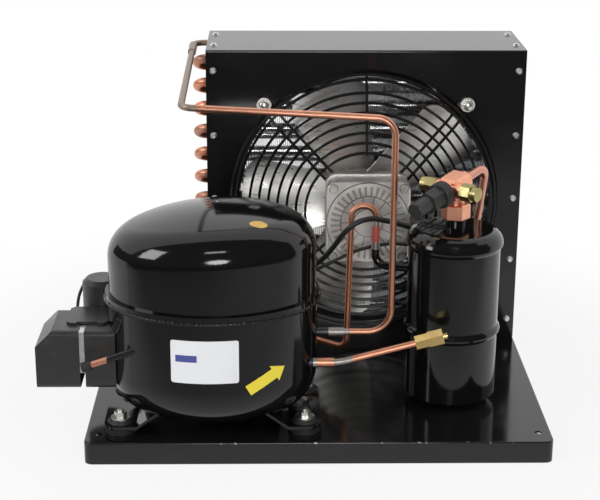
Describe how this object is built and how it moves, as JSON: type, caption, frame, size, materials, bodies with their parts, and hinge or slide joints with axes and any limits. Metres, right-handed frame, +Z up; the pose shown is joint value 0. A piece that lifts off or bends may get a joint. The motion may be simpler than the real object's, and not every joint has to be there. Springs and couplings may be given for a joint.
{
  "type": "air cooled condensing unit",
  "caption": "Air-cooled condensing unit: hermetic compressor, fan-cooled condenser coil and liquid receiver with its valve, piped together on a folded steel tray.",
  "frame": {"origin": "middle of the tray, in the plane of its lower rim", "axes": "+X to the right along the tray as seen from the compressor's side, +Y towards the condenser, +Z up"},
  "size_m": [0.474, 0.3849, 0.3337],
  "materials": {
    "tray_black": "gloss black powder coat",
    "housing_black": "gloss black powder coat",
    "zinc": "zinc plated steel",
    "fins": "plain aluminium fins",
    "copper": "bare copper",
    "guard_black": "black coated wire",
    "motor_casting": "die cast aluminium",
    "blade_aluminium": "pressed aluminium",
    "bronze": "bare brass",
    "core_steel": "bare steel",
    "crankcase_iron": "bare cast iron",
    "shell_black": "gloss black paint",
    "receiver_black": "gloss black paint",
    "rubber_black": "black rubber",
    "box_plastic": "dark grey moulded plastic",
    "cap_plastic": "black moulded plastic",
    "lead_sheath": "black cable sheath"
  },
  "bodies": {
    "chassis": {"base_tray": "tray_black", "fan_shroud": "housing_black", "side_panel_left": "housing_black", "side_panel_right": "housing_black", "tube_plate": "housing_black", "shroud_screws": "zinc", "guard_bolts": "zinc", "compressor_bolts": "zinc", "compressor_nuts": "zinc", "fan_motor_screws": "zinc", "cover_strap": "zinc", "condenser_fins": "fins", "condenser_tubes": "copper", "return_bends": "copper", "shell_stubs": "copper", "discharge_line": "copper", "liquid_line": "copper", "suction_line": "copper", "process_tube": "copper", "outlet_pipe": "copper", "receiver_nut": "copper", "comp_windings": "copper", "fan_guard": "guard_black", "fan_motor_cover": "motor_casting", "fan_motor_body": "motor_casting", "fan_bearings": "bronze", "suction_nut": "bronze", "suction_union": "bronze", "valve_body": "bronze", "port_caps": "bronze", "fan_motor_stator": "core_steel", "comp_stator": "core_steel", "support_springs": "core_steel", "terminal_pins": "core_steel", "cylinder_head": "core_steel", "comp_block": "crankcase_iron", "compressor_shell_lower": "shell_black", "compressor_shell_upper": "shell_black", "compressor_feet": "shell_black", "receiver_body": "receiver_black", "receiver_foot": "receiver_black", "grommets": "rubber_black", "process_cap": "rubber_black", "terminal_base": "box_plastic", "terminal_cover": "box_plastic", "starter_lid": "box_plastic", "start_capacitor": "box_plastic", "fan_lead": "lead_sheath", "earth_lead": "lead_sheath", "capacitor_lead": "lead_sheath"},
    "fan_rotor": {"fan_shaft": "core_steel", "fan_motor_rotor": "core_steel", "fan_blades": "blade_aluminium", "fan_hub": "blade_aluminium"},
    "crank_rotor": {"crankshaft": "core_steel", "comp_rotor": "core_steel"},
    "piston": {"piston": "core_steel", "connecting_rod": "core_steel"},
    "valve_stem": {"valve_stem": "core_steel"},
    "stem_cap": {"stem_cap": "cap_plastic"}
  },
  "joints": [
    {"name": "fan_spin", "type": "hinge", "parent": "chassis", "child": "fan_rotor", "pos_m": [0.0525, 0.088, 0.1726], "axis": [0, 1, 0], "continuous": true},
    {"name": "crank_spin", "type": "hinge", "parent": "chassis", "child": "crank_rotor", "pos_m": [-0.098, -0.121, 0.09], "axis": [0, 0, 1], "continuous": true},
    {"name": "piston_slide", "type": "slide", "parent": "chassis", "child": "piston", "axis": [1, 0, 0], "range_m": [-0.008, 0.008]},
    {"name": "stem_turn", "type": "hinge", "parent": "chassis", "child": "valve_stem", "pos_m": [0.129, -0.082, 0.2355], "axis": [-0.6471, -0.7444, -0.165], "range_deg": [0, 720]},
    {"name": "cap_pull", "type": "slide", "parent": "chassis", "child": "stem_cap", "axis": [-0.6471, -0.7444, -0.165], "range_m": [0, 0.05]}
  ]
}
